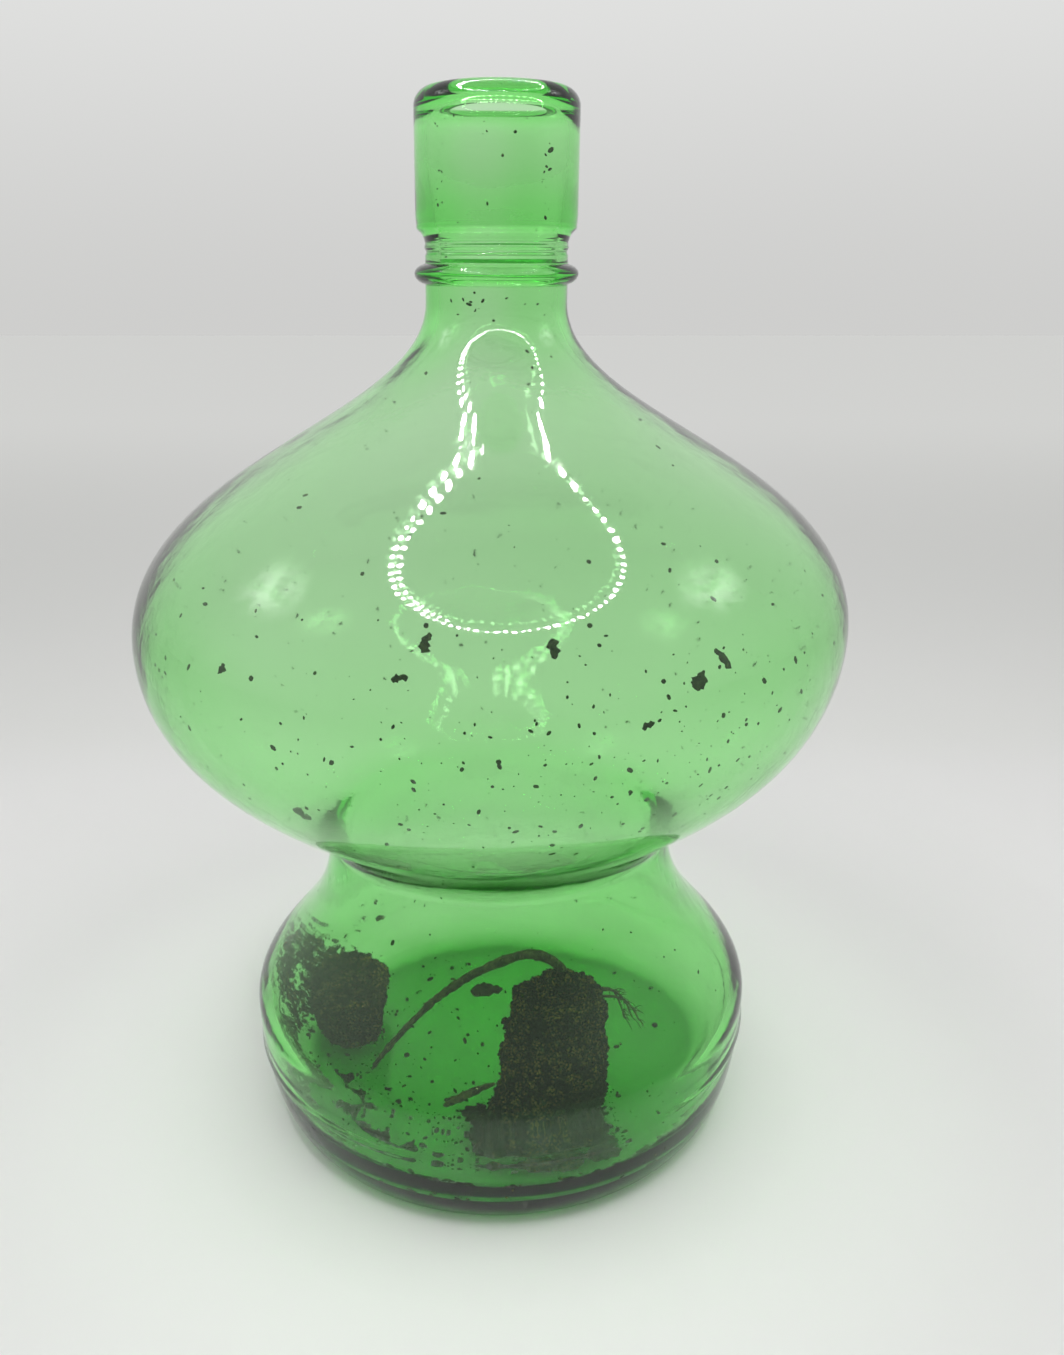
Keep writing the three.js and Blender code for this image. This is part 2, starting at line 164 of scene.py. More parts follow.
collar_line += bend(
    (collar_bore, roll_height - lip_fall),
    (collar_bore, neck_top + 14 * MM),
    (neck_bore, neck_top + 6 * MM),
    (neck_bore, neck_top - 6 * MM),
    20,
)
floor_line = [(floor_radius * share, floor_thickness) for share in (0.9, 0.7, 0.5, 0.3, 0.12)]
foot_line = [(foot_radius * share, 0) for share in (0.12, 0.4, 0.7, 0.94)]
vessel_outline = foot_line + outer_face + neck_line + collar_line + inner_face[::-1] + floor_line
outside_rings += len(foot_line) + len(outer_face) + len(neck_line)


def sway(height):
    """How far the blown wall leans off the axis at a height: the bulb to the left, the mouth to the right."""
    bulb_lean = -2.6 * MM * math.exp(-(((height - 185 * MM) / (60 * MM)) ** 2))
    return bulb_lean + 4.8 * MM * max(0, height / mouth_height - 0.75)


def waviness(turn, height, inside):
    """The slow unevenness of a blown wall, stronger on the inside, where no mould touched it."""
    place = Vector((math.cos(turn) * 1.3, math.sin(turn) * 1.3, height * 11 + (5 if inside else 0)))
    depth = 0.9 * MM if inside else 0.35 * MM
    settle = min(1, height / (25 * MM))
    return depth * noise.noise(place) * settle


bore_line = [(neck_bore, neck_top - 6 * MM), (collar_bore, neck_top + 14 * MM), (collar_bore, roll_height)]
inner_line = inner_face + bore_line
inner_heights = [height for radius, height in inner_line]
inner_radii = [radius for radius, height in inner_line]


def inner_wall(turn, height, inset):
    """A place on the inner face of the glass, so far in from it."""
    r = float(np.interp(height, inner_heights, inner_radii)) + waviness(turn, height, True) - inset
    return Vector((r * math.cos(turn) + sway(height), r * math.sin(turn), height))


def turned_vessel():
    points = []
    for index, (radius, height) in enumerate(vessel_outline):
        inside = index >= outside_rings
        for side in range(vessel_sides):
            turn = 2 * math.pi * side / vessel_sides
            r, z = radius, height
            r += waviness(turn, z, inside) * min(1, radius / (24 * MM))
            if not inside:
                seam = seam_height + 2.6 * MM * math.cos(turn + 0.25)
                r += 0.75 * MM * math.exp(-(((z - seam) / (0.8 * MM)) ** 2))
                if neck_height < z < neck_top:
                    z += 0.45 * MM * math.sin(turn * 2 + 1) * math.exp(-(((z - ring_middle) / (4 * MM)) ** 2))
            points.append((r * math.cos(turn) + sway(z), r * math.sin(turn), z))
    faces = []
    rings = len(vessel_outline)
    for ring in range(rings - 1):
        for side in range(vessel_sides):
            a = ring * vessel_sides + side
            b = ring * vessel_sides + (side + 1) % vessel_sides
            faces.append((a, b, b + vessel_sides, a + vessel_sides))
    under, over = len(points), len(points) + 1
    points.append((sway(0), 0, 0))
    points.append((sway(floor_thickness), 0, floor_thickness))
    last = (rings - 1) * vessel_sides
    for side in range(vessel_sides):
        follow = (side + 1) % vessel_sides
        faces.append((under, follow, side))
        faces.append((over, last + side, last + follow))
    mesh = bpy.data.meshes.new("glass_vessel")
    mesh.from_pydata(points, [], faces)
    mesh.validate()
    mesh.shade_smooth()
    return mesh


def shown(name, mesh):
    piece = bpy.data.objects.new(name, mesh)
    bpy.context.scene.collection.objects.link(piece)
    return piece


class Wire:
    """An output of one node. Sums on it add Math or Vector Math nodes, and node() adds any other kind."""

    def __init__(self, tree, output=None):
        self.tree, self.output = tree, output

    def node(self, kind, settings=None, sockets=None, out=0):
        new = self.tree.nodes.new(kind)
        for name, value in (settings or {}).items():
            setattr(new, name, value)
        self.feed(new, sockets or {})
        return Wire(self.tree, new.outputs[out])

    def feed(self, target, sockets):
        for name, value in sockets.items():
            if isinstance(value, Wire):
                self.tree.links.new(value.output, target.inputs[name])
            else:
                target.inputs[name].default_value = value

    def sum(self, operation, first, second):
        pair = (first, second)
        wide = any(isinstance(item, tuple) for item in pair)
        wide = wide or any(isinstance(item, Wire) and item.output.type in ("VECTOR", "RGBA") for item in pair)
        if not wide:
            return self.node("ShaderNodeMath", {"operation": operation}, {0: first, 1: second})
        pair = [(item,) * 3 if isinstance(item, (int, float)) else item for item in pair]
        return self.node("ShaderNodeVectorMath", {"operation": operation}, {0: pair[0], 1: pair[1]})

    def __add__(self, other):
        return self.sum("ADD", self, other)

    def __sub__(self, other):
        return self.sum("SUBTRACT", self, other)

    def __rsub__(self, other):
        return self.sum("SUBTRACT", other, self)

    def __mul__(self, other):
        return self.sum("MULTIPLY", self, other)

    __radd__, __rmul__ = __add__, __mul__

    def between(self, low, high):
        """0 up to the low value, 1 from the high one, and a smooth step between them."""
        settings = {"interpolation_type": "SMOOTHSTEP"}
        return self.node("ShaderNodeMapRange", settings, {"Value": self, "From Min": low, "From Max": high})

    def mix(self, low, high):
        """A colour between two, with this wire as the share of the second."""
        return self.node("ShaderNodeMix", {"data_type": "RGBA"}, {0: self, 6: low, 7: high}, out=2)

    def noise(self, scale, detail=4, roughness=0.6):
        sockets = {"Vector": self, "Scale": scale, "Detail": detail, "Roughness": roughness}
        return self.node("ShaderNodeTexNoise", None, sockets)

    def cells(self, scale):
        sockets = {"Vector": self, "Scale": scale}
        return self.node("ShaderNodeTexVoronoi", {"feature": "F1"}, sockets, out="Distance")

    def bump(self, strength, distance):
        return self.node("ShaderNodeBump", None, {"Height": self, "Strength": strength, "Distance": distance})


def new_material(name):
    """A material, the place wire that its patterns start from, and its shader."""
    material = bpy.data.materials.new(name)
    material.use_nodes = True
    place = Wire(material.node_tree).node("ShaderNodeTexCoord", out="Object")
    return material, place, material.node_tree.nodes["Principled BSDF"]


vessel = shown("glass_vessel", turned_vessel())

# The tint is in the glass itself, so thick places and long ways through it are deeper green.
glass, glass_place, glass_shader = new_material("green blown glass")
ripple = glass_place.noise(70, 2, 0.4) + glass_place.noise(420, 1, 0.4) * 0.1
glass_place.feed(
    glass_shader,
    {
        "Base Color": (1, 1, 1, 1),
        "Roughness": 0.04,
        "IOR": 1.5,
        "Transmission Weight": 1.0,
        "Normal": ripple.bump(0.25, 0.4 * MM),
    },
)
tint = glass_place.node("ShaderNodeVolumeAbsorption", None, {"Color": (0.13, 0.915, 0.03, 1), "Density": 126})
glass_place.feed(glass.node_tree.nodes["Material Output"], {"Volume": tint})
vessel.data.materials.append(glass)
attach(vessel, "vessel")
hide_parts("glass_body", "applied_collar", "string_ring")

# ---- Standing root plug --------------------------------------------------------------------------
# A nursery plug of dried peat and roots, pressed in a tray, standing on the floor behind the front
# wall. Its sides crumble and its lower edge has slumped. Loose: it only rests on the glass.


def dry_soil(name, brown, ochre, shade):
    material, place, shader = new_material(name)
    clods = place.noise(120, 6, 0.7)
    patches = place.noise(38, 3, 0.5)
    grains = place.cells(900)
    # Painted shade: the soil takes the shade colour where the clod pattern is low and the bump sinks it, and
    # a darker shade between the grains.
    colour = clods.between(0.38, 0.62).mix(shade, brown)
    rise = place.node("ShaderNodeSeparateXYZ", None, {0: place}, out="Z").between(0.02, 0.075)
    colour = (patches + rise * 0.24).between(0.46, 0.66).mix(colour, ochre)
    colour = grains.between(0.25, 0.7).mix(colour, tuple(share * 0.45 for share in shade[:3]) + (1,))
    # Painted shade: darker along the edges of a crevice pattern, standing in for the shade in the hollows of
    # the crumbly soil.
    crevice_shade = place.cells(230)
    colour = crevice_shade.between(0.3, 0.75).mix(colour, tuple(share * 0.3 for share in shade[:3]) + (1,))
    relief = clods + grains * -0.35 + place.noise(1500, 2, 0.5) * 0.25
    place.feed(
        shader,
        {
            "Base Color": colour,
            "Roughness": 0.86 + patches * 0.12,
            "Specular IOR Level": 0.2,
            "Normal": relief.bump(0.8, 1.2 * MM),
        },
    )
    return material


def crumbled(name, node, voxel, clod_depth, pit_depth, seed, settle):
    """A soil piece: a CAD solid's own shape, remeshed finely, then broken inwards and pitted."""
    shape = bmesh.new()
    shape.from_mesh(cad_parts[node].data)
    bmesh.ops.remove_doubles(shape, verts=shape.verts, dist=1e-6)
    rough = bpy.data.meshes.new(name)
    shape.to_mesh(rough)
    shape.free()
    carrier = shown(name + " carrier", rough)
    remesh = carrier.modifiers.new("voxels", "REMESH")
    remesh.mode = "VOXEL"
    remesh.voxel_size = voxel
    soften = carrier.modifiers.new("soften", "SMOOTH")
    soften.iterations = 4
    mesh = bpy.data.meshes.new_from_object(carrier.evaluated_get(bpy.context.evaluated_depsgraph_get()))
    bpy.data.objects.remove(carrier)
    mesh.name = name
    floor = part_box(node)[0].z
    shift = Vector((seed * 3.7, seed * 1.9, seed * 5.3))
    normals = [vertex.normal.copy() for vertex in mesh.vertices]
    for vertex, normal in zip(mesh.vertices, normals):
        place = vertex.co + shift
        clod = noise.fractal(place * 95, 0.9, 2.2, 4)
        pit = max(0, noise.noise(place * 420) - 0.15)
        near, next_near = noise.voronoi(place * 230)[0][:2]
        crack = max(0, 1 - (next_near - near) * 2.4)
        depth = clod_depth * (clod - 0.35) - pit_depth * (pit + 0.55 * crack * crack)
        spot = settle(vertex.co) + normal * depth
        vertex.co = (spot.x, spot.y, max(spot.z, floor))
    mesh.materials.clear()
    return mesh


def scatter_tree(name, material):
    """Grains scattered on a ground mesh, denser where its attribute 'cover' is higher."""
    tree = bpy.data.node_groups.new(name, "GeometryNodeTree")
    for label, kind in (
        ("Ground", "Geometry"),
        ("Grains per square metre", "Float"),
        ("Smallest", "Float"),
        ("Largest", "Float"),
        ("Thickness", "Float"),
        ("Seed", "Int"),
    ):
        tree.interface.new_socket(name=label, in_out="INPUT", socket_type="NodeSocket" + kind)
    tree.interface.new_socket(name="Grains", in_out="OUTPUT", socket_type="NodeSocketGeometry")
    given = tree.nodes.new("NodeGroupInput")
    ground, density, smallest, largest, thickness, seed = (Wire(tree, socket) for socket in given.outputs[:6])
    cover = ground.node("GeometryNodeInputNamedAttribute", {"data_type": "FLOAT"}, {"Name": "cover"})
    points = tree.nodes.new("GeometryNodeDistributePointsOnFaces")
    ground.feed(points, {"Mesh": ground, "Density": density * cover, "Seed": seed})
    one_draw = {2: 0.0, 3: 1.0, "Seed": seed}
    chance = ground.node("FunctionNodeRandomValue", {"data_type": "FLOAT"}, one_draw, out=1)
    size = smallest + (largest - smallest) * chance * chance * chance
    stretches = {0: (0.6, 0.6, 0.7), 1: (1.7, 1.0, 1.0), "Seed": 11}
    stretch = ground.node("FunctionNodeRandomValue", {"data_type": "FLOAT_VECTOR"}, stretches)
    flat = ground.node("ShaderNodeCombineXYZ", None, {0: 1.0, 1: 1.0, 2: thickness})
    spins = {0: (0, 0, 0), 1: (0, 0, 2 * math.pi), "Seed": 5}
    spin = ground.node("FunctionNodeRandomValue", {"data_type": "FLOAT_VECTOR"}, spins)
    own_turn = ground.node("FunctionNodeEulerToRotation", None, {0: spin})
    upright = Wire(tree, points.outputs["Rotation"])
    turned = ground.node("FunctionNodeRotateRotation", {"rotation_space": "LOCAL"}, {0: upright, 1: own_turn})
    grain = ground.node("GeometryNodeMeshIcoSphere", None, {"Radius": 1.0, "Subdivisions": 1})
    placed = ground.node(
        "GeometryNodeInstanceOnPoints",
        None,
        {
            "Points": Wire(tree, points.outputs["Points"]),
            "Instance": grain,
            "Rotation": turned,
            "Scale": stretch * flat * size,
        },
    )
    solid = ground.node("GeometryNodeRealizeInstances", None, {"Geometry": placed})
    spot = ground.node("GeometryNodeInputPosition")
    lumps = {"Vector": spot, "Scale": 1400, "Detail": 1}
    wobble = ground.node("ShaderNodeTexNoise", None, lumps, out="Color")
    push = (wobble - (0.5, 0.5, 0.5)) * largest * thickness
    solid = ground.node("GeometryNodeSetPosition", None, {"Geometry": solid, "Offset": push})
    coated = ground.node("GeometryNodeSetMaterial", None, {"Geometry": solid, "Material": material})
    ground.feed(tree.nodes.new("NodeGroupOutput"), {"Grains": coated})
    return tree


def grown(name, ground, tree, sizes):
    """The plain mesh that a tree grows on a ground mesh."""
    carrier = shown(name + " carrier", ground)
    modifier = carrier.modifiers.new("grow", "NODES")
    modifier.node_group = tree
    for socket in tree.interface.items_tree:
        if socket.in_out == "INPUT" and socket.name in sizes:
            modifier[socket.identifier] = sizes[socket.name]
    mesh = bpy.data.meshes.new_from_object(carrier.evaluated_get(bpy.context.evaluated_depsgraph_get()))
    bpy.data.objects.remove(carrier)
    mesh.name = name
    return mesh


def covered(mesh, share_at):
    """The mesh with its 'cover' attribute set from a function of each vertex's place."""
    cover = mesh.attributes.new("cover", "FLOAT", "POINT")
    for index, vertex in enumerate(mesh.vertices):
        cover.data[index].value = share_at(vertex.co)
    return mesh


peat = dry_soil(
    "dry peat",
    brown=(0.06, 0.035, 0.017, 1),
    ochre=(0.25, 0.14, 0.048, 1),
    shade=(0.012, 0.01, 0.006, 1),
)
# A paler peat, for the lying plug and for the soil dried onto the wall; on the wall its lightness is painted
# light, making up for the shade there.
pale_peat = dry_soil(
    "pale peat",
    brown=(0.13, 0.078, 0.034, 1),
    ochre=(0.34, 0.19, 0.065, 1),
    shade=(0.035, 0.024, 0.012, 1),
)
peat_grain = dry_soil(
    "peat grains",
    brown=(0.06, 0.036, 0.018, 1),
    ochre=(0.16, 0.09, 0.035, 1),
    shade=(0.014, 0.011, 0.007, 1),
)
grain_tree = scatter_tree("soil grains", peat_grain)


def soil_piece(
    name, node, body, voxel, clod_depth, pit_depth, seed, density, largest, settle=Vector, soil=peat
):
    """A broken-down copy of a CAD soil solid and the grains that cling to it, both on one body."""
    mesh = crumbled(name, node, voxel, clod_depth, pit_depth, seed, settle)
    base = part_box(node)[0].z
    ground = covered(mesh.copy(), lambda place: 1.0 if place.z > base + 1.5 * MM else 0.0)
    sizes = {
        "Grains per square metre": density,
        "Smallest": 0.25 * MM,
        "Largest": largest,
        "Thickness": 0.8,
        "Seed": seed,
    }
    grains = grown(name + "_grains", ground, grain_tree, sizes)
    mesh.materials.append(soil)
    mesh.shade_smooth()
    piece = shown(name, mesh)
    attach(piece, body)
    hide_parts(node)
    loose = shown(name + "_grains", grains)
    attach(loose, body)
    return piece


plug_low, plug_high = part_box("standing_root_plug")
plug_middle = (plug_low + plug_high) / 2
plug_radius = (plug_high.x - plug_low.x) / 2


def flared(place):
    """The plug's foot has slumped outwards to the left, and its upper left shoulder has worn round."""
    up = (place.z - plug_low.z) / (plug_high.z - plug_low.z)
    left = max(0, (plug_middle.x - place.x) / plug_radius)
    slumped_out = 3 * MM * left * max(0, 1 - up * 2.2)
    worn_in = 2.5 * MM * left * up**6
    return Vector((place.x - slumped_out + worn_in, place.y, place.z))


soil_piece(
    "standing_plug",
    "standing_root_plug",
    "standing_plug",
    voxel=0.8 * MM,
    clod_depth=2.8 * MM,
    pit_depth=2.6 * MM,
    seed=3,
    density=150000,
    largest=2.0 * MM,
    settle=flared,
)

# ---- Dead crown ----------------------------------------------------------------------------------
# The matted neck of the dead plant on top of the standing plug, with the stubs of its leaf stalks.
soil_piece(
    "matted_crown",
    "dead_crown",
    "standing_plug",
    voxel=0.6 * MM,
    clod_depth=1.8 * MM,
    pit_depth=1.2 * MM,
    seed=8,
    density=300000,
    largest=0.9 * MM,
)

# ---- Bent stem -----------------------------------------------------------------------------------
# The dead plant's stem: thick where it leaves the crown, arching over and hanging almost to the floor. It is
# dry and shrunken, with swollen leaf joints and short broken stubs.
stem_low, stem_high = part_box("bent_stem")


def within(low, high, share):
    return Vector(low[axis] + (high[axis] - low[axis]) * share[axis] for axis in range(3))


def along_run(points, share):
    """A place and heading on the smooth curve through some points."""
    spans = len(points) - 1
    at = min(share * spans, spans - 1e-6)
    k, t = int(at), at - int(at)
    before, start, end, after = (points[max(0, min(spans, k + step))] for step in (-1, 0, 1, 2))
    pull_in, pull_out = (end - before) / 2, (after - start) / 2
    place = start * (2 * t**3 - 3 * t**2 + 1) + pull_in * (t**3 - 2 * t**2 + t)
    place += end * (3 * t**2 - 2 * t**3) + pull_out * (t**3 - t**2)
    return place


def stalk(points, radius_at, rings, sides=10, rough=0.15, seed=0):
    """Closed tube along a smooth run of points, lumpy and pinched at both ends. Gives points and faces."""
    spine = [along_run(points, ring / (rings - 1)) for ring in range(rings)]
    heading = (spine[1] - spine[0]).normalized()
    side_way = heading.orthogonal().normalized()
    out, faces = [], []
    for ring, middle in enumerate(spine):
        ahead = spine[min(ring + 1, rings - 1)] - spine[max(ring - 1, 0)]
        side_way = (side_way - ahead * side_way.dot(ahead) / ahead.length_squared).normalized()
        other_way = ahead.normalized().cross(side_way)
        share = ring / (rings - 1)
        pinch = min(1, 0.35 + 12 * share, 0.35 + 12 * (1 - share))
        for side in range(sides):
            turn = 2 * math.pi * side / sides
            way = side_way * math.cos(turn) + other_way * math.sin(turn)
            lump = noise.noise(middle * 450 + way * 0.8 + Vector((seed, 0, 0)))
            out.append(middle + way * radius_at(share) * pinch * (1 + rough * 2 * lump))
    for ring in range(rings - 1):
        for side in range(sides):
            a, b = ring * sides + side, ring * sides + (side + 1) % sides
            faces.append((a, b, b + sides, a + sides))
    faces.append(tuple(range(sides))[::-1])
    faces.append(tuple(range((rings - 1) * sides, rings * sides)))
    return out, faces


def together(name, *parts):
    points, faces = [], []
    for part_points, part_faces in parts:
        faces += [tuple(index + len(points) for index in face) for face in part_faces]
        points += part_points
    mesh = bpy.data.meshes.new(name)
    mesh.from_pydata(points, [], faces)
    mesh.validate()
    mesh.shade_smooth()
    return mesh


def upright_faces(mesh):
    shape = bmesh.new()
    shape.from_mesh(mesh)
    bmesh.ops.recalc_face_normals(shape, faces=shape.faces)
    shape.to_mesh(mesh)
    shape.free()
    return mesh


def dead_plant(name, pale, brown, dark, gloss):
    material, place, shader = new_material(name)
    blotches = place.noise(260, 4, 0.6)
    streaks = (place * (1, 1, 0.3)).noise(900, 3, 0.6)
    colour = blotches.between(0.4, 0.62).mix(dark, brown)
    colour = streaks.between(0.55, 0.75).mix(colour, pale)
    relief = streaks + blotches * 0.5
    place.feed(
        shader,
        {
            "Base Color": colour,
            "Roughness": gloss + blotches * 0.25,
            "Specular IOR Level": 0.3,
            "Normal": relief.bump(0.6, 0.4 * MM),
        },
    )
    return material


dead_stem = dead_plant(
    "dead stem",
    pale=(0.26, 0.22, 0.11, 1),
    brown=(0.11, 0.095, 0.045, 1),
    dark=(0.045, 0.042, 0.022, 1),
    gloss=0.6,
)
stem_shares = [
    (0.98, 0.07, 0.9),
    (0.88, 0.18, 0.97),
    (0.77, 0.26, 0.96),
    (0.58, 0.38, 0.83),
    (0.43, 0.5, 0.68),
    (0.29, 0.66, 0.49),
    (0.12, 0.8, 0.22),
    (0.02, 0.93, 0.02),
]
stem_run = [within(stem_low, stem_high, share) for share in stem_shares]


def stem_radius(share):
    joint = sum(math.exp(-(((share - at) / 0.018) ** 2)) for at in (0.18, 0.34, 0.52, 0.66, 0.84))
    return (2.2 - 1.2 * share + 0.35 * joint) * MM


stem_parts = [stalk(stem_run, stem_radius, 120, 12, 0.12, 4)]
chooser = random.Random(14)
for at in (0.19, 0.335, 0.51, 0.53, 0.67, 0.83):
    root = along_run(stem_run, at)
    away = Vector((chooser.uniform(-1, 1), chooser.uniform(-1, 1), chooser.uniform(-0.3, 1))).normalized()
    reach = chooser.uniform(2.5, 5) * MM
    stub = [root, root + away * reach * 0.5, root + away * reach + Vector((0, 0, -reach * 0.3))]
    stem_parts.append(stalk(stub, lambda share: (0.65 - 0.35 * share) * MM, 8, 7, 0.2, at * 9))
stem = shown("bent_dead_stem", together("bent_dead_stem", *stem_parts))
stem.data.materials.append(dead_stem)
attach(stem, "standing_plug")
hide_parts("bent_stem")

# ---- Broken twig ---------------------------------------------------------------------------------
# A stalk, widest near its free end and torn to a point, sticking out of the standing plug.
twig_low, twig_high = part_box("broken_twig")
twig_shares = [(1.0, 0.9, 0.9), (0.55, 0.5, 0.7), (0.02, 0.1, 0.1)]
twig_run = [within(twig_low, twig_high, share) for share in twig_shares]
twig_part = stalk(twig_run, lambda share: (0.8 + 1.1 * math.sin(math.pi * share**1.6)) * MM, 40, 10, 0.2, 6)
twig = shown("flat_twig", together("flat_twig", twig_part))
twig.data.materials.append(dead_stem)
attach(twig, "standing_plug")
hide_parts("broken_twig")

# ---- Loose roots ---------------------------------------------------------------------------------
# Fine roots that have come away from the standing plug's right shoulder, each with its side hairs.
for number in (1, 2, 3):
    root_low, root_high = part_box(f"root_strand_{number}")
    outward = 0.1 if number == 3 else 0.9
    root_run = [
        within(root_low, root_high, share)
        for share in ((-0.3, 0.5, 0.97), (0.3, 0.5, 0.9), (0.7, 0.6, 0.5), (0.95, outward, 0.03))
    ]
    root_parts = [stalk(root_run, lambda share: (0.6 - 0.35 * share) * MM, 36, 7, 0.2, number)]
    chooser = random.Random(number)
    for hair in range(14):
        start = along_run(root_run, chooser.uniform(0.2, 0.98))
        away = Vector((chooser.uniform(0.1, 1), chooser.uniform(-0.8, 0.8), chooser.uniform(-1, 0.3)))
        away.normalize()
        reach = chooser.uniform(2, 6.5) * MM
        droop = Vector((0, 0, -0.35 * reach))
        hair_run = [start, start + away * reach * 0.5, start + away * reach + droop]
        root_parts.append(stalk(hair_run, lambda share: (0.2 - 0.1 * share) * MM, 6, 4, 0.1, hair))
    roots = shown(f"loose_root_{number}", together(f"loose_root_{number}", *root_parts))
    roots.data.materials.append(dead_stem)
    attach(roots, "standing_plug")
    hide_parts(f"root_strand_{number}")

# ---- Leaf scrap ----------------------------------------------------------------------------------
# One shrivelled leaf lying out to the left from the crown, curled along its middle.
dead_leaf = dead_plant(
    "dead leaf",
    pale=(0.1, 0.1, 0.045, 1),
    brown=(0.05, 0.048, 0.02, 1),
    dark=(0.018, 0.02, 0.009, 1),
    gloss=0.55,
)


def scrap(centre, along, across, length, width, curl, thick, seed):
    """A torn, curled scrap with a thickness, as one closed skin. Gives points and faces."""
    out_way = along.cross(across).normalized()
    steps, rows = 14, 8
    chooser = random.Random(seed)
    skew = chooser.uniform(-0.45, 0.45)
    points, faces = [], []
    for face_side in (0.5, -0.5):
        for step in range(steps + 1):
            u = step / steps - 0.5
            half = width / 2 * max(0.12, (1 - (2 * abs(u)) ** 4)) * (1 + skew * u * 3)
            half *= 1 + 0.75 * noise.noise(Vector((u * 7, seed * 1.3, 0)))
            for row in range(rows + 1):
                v = row / rows - 0.5
                crinkle = 0.12 * noise.noise(Vector((u * 4, v * 3, seed * 2.1)))
                lift = (curl * (4 * v * v * half * 2 + u * u * length) + crinkle * width) + face_side * thick
                tear = 0.3 * half * noise.noise(Vector((v * 6, u * 3, seed * 0.7)))
                sideways = across * (v * half * 2 + 0.35 * width * noise.noise(Vector((u * 4, seed, 2))))
                points.append(centre + along * (u * length + tear) + sideways + out_way * lift)
    row_length = rows + 1
    sheet = (steps + 1) * row_length
    for step in range(steps):
        for row in range(rows):
            a = step * row_length + row
            b, c, d = a + 1, a + row_length + 1, a + row_length
            faces.append((a, d, c, b))
            faces.append((sheet + a, sheet + b, sheet + c, sheet + d))
    rim = list(range(rows)) + [step * row_length + rows for step in range(steps)]
    rim += [steps * row_length + row for row in range(rows, 0, -1)]
    rim += [step * row_length for step in range(steps, 0, -1)]
    for first, second in zip(rim, rim[1:] + rim[:1]):
        faces.append((first, second, sheet + second, sheet + first))
    return points, faces


leaf_low, leaf_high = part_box("leaf_scrap")
leaf_along = Vector((leaf_high.x - leaf_low.x, 0, 1.5 * MM)).normalized()
leaf_part = scrap(
    (leaf_low + leaf_high) / 2, leaf_along, Vector((0, 0.8, 0.6)), 12.5 * MM, 5 * MM, 0.22, 0.5 * MM, 3
)
leaf = shown("curled_leaf", upright_faces(together("curled_leaf", leaf_part)))
leaf.data.materials.append(dead_leaf)
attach(leaf, "standing_plug")
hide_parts("leaf_scrap")

# ---- Lying root plug -----------------------------------------------------------------------------
# A second, smaller plug that has fallen over against the left wall, its narrow end towards the front.
lying_low, lying_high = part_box("lying_root_plug")


def against_wall(place):
    """The plug's side is pressed out to the glass, but not so far that it would catch as it lifts."""
    out_share = min(1, max(0, (lying_high.x - place.x) / (lying_high.x - lying_low.x)))
    spot = Vector((place.x - 4 * MM * out_share, place.y, place.z))
    round_wall = math.atan2(spot.y, spot.x)
    lifts = (0, 15 * MM, 30 * MM)
    room = min(inner_wall(round_wall, spot.z + lift, 2.6 * MM).xy.length for lift in lifts)
    if spot.xy.length > room:
        spot.xy = spot.xy * room / spot.xy.length
    return spot


soil_piece(
    "lying_plug",
    "lying_root_plug",
    "lying_plug",
    voxel=0.7 * MM,
    clod_depth=1.8 * MM,
    pit_depth=2.0 * MM,
    seed=17,
    density=110000,
    largest=1.6 * MM,
    settle=against_wall,
    soil=pale_peat,
)

# ---- Loose soil ----------------------------------------------------------------------------------
# What has crumbled off the plugs: a drift along the inside edge of the floor, single crumbs, and fine
# grains that lie thickest round the foot of the standing plug.
def ragged_bank(place):
    """The drift's inner edge comes and goes, so that it hugs the edge of the floor."""
    round_floor = math.atan2(place.y, place.x)
    share = min(1, max(0.12, 0.5 + 1.1 * noise.noise(Vector((round_floor * 11, 3, 0)))))
    outer = floor_radius - 3 * MM
    far_out = outer - (outer - place.xy.length) * share
    rise = place.z - floor_thickness
    right, back = far_out * math.cos(round_floor), far_out * math.sin(round_floor)
    return Vector((right, back, floor_thickness + rise * share))


soil_piece(
    "soil_bank",
    "soil_drift",
    "vessel",
    voxel=0.5 * MM,
    clod_depth=1.6 * MM,
    pit_depth=1.4 * MM,
    seed=21,
    density=330000,
    largest=2.2 * MM,
    settle=ragged_bank,
)
for number in range(1, 7):
    soil_piece(
        f"soil_crumb_{number}",
        f"crumb_{number}",
        "vessel",
        voxel=0.35 * MM,
        clod_depth=1.0 * MM,
        pit_depth=0.8 * MM,
        seed=30 + number,
        density=900000,
        largest=0.6 * MM,
    )


def floor_patch(rings, sides, radius, height):
    points = [(0, 0, height)]
    faces = []
    for ring in range(1, rings + 1):
        for side in range(sides):
            turn = 2 * math.pi * side / sides
            out = radius * ring / rings
            points.append((out * math.cos(turn), out * math.sin(turn), height))
    for side in range(sides):
        faces.append((0, side + 1, (side + 1) % sides + 1))
        for ring in range(rings - 1):
            a, b = ring * sides + side + 1, ring * sides + (side + 1) % sides + 1
            faces.append((a, a + sides, b + sides, b))
    mesh = bpy.data.meshes.new("floor patch")
    mesh.from_pydata(points, [], faces)
    return mesh


def litter_share(place):
    off_plug = (place.xy - plug_middle.xy).length - plug_radius
    round_plug = math.exp(-max(0, off_plug) / (4 * MM)) if off_plug > -1.5 * MM else 0
    near_edge = min(1, max(0, place.xy.length / floor_radius - 0.55) * 3)
    left_front = math.exp(-(((place.x + 40 * MM) / (40 * MM)) ** 2)) * near_edge
    return min(1, round_plug + 0.35 * left_front * (1 if place.y < 0.01 else 0.2) + 0.015)


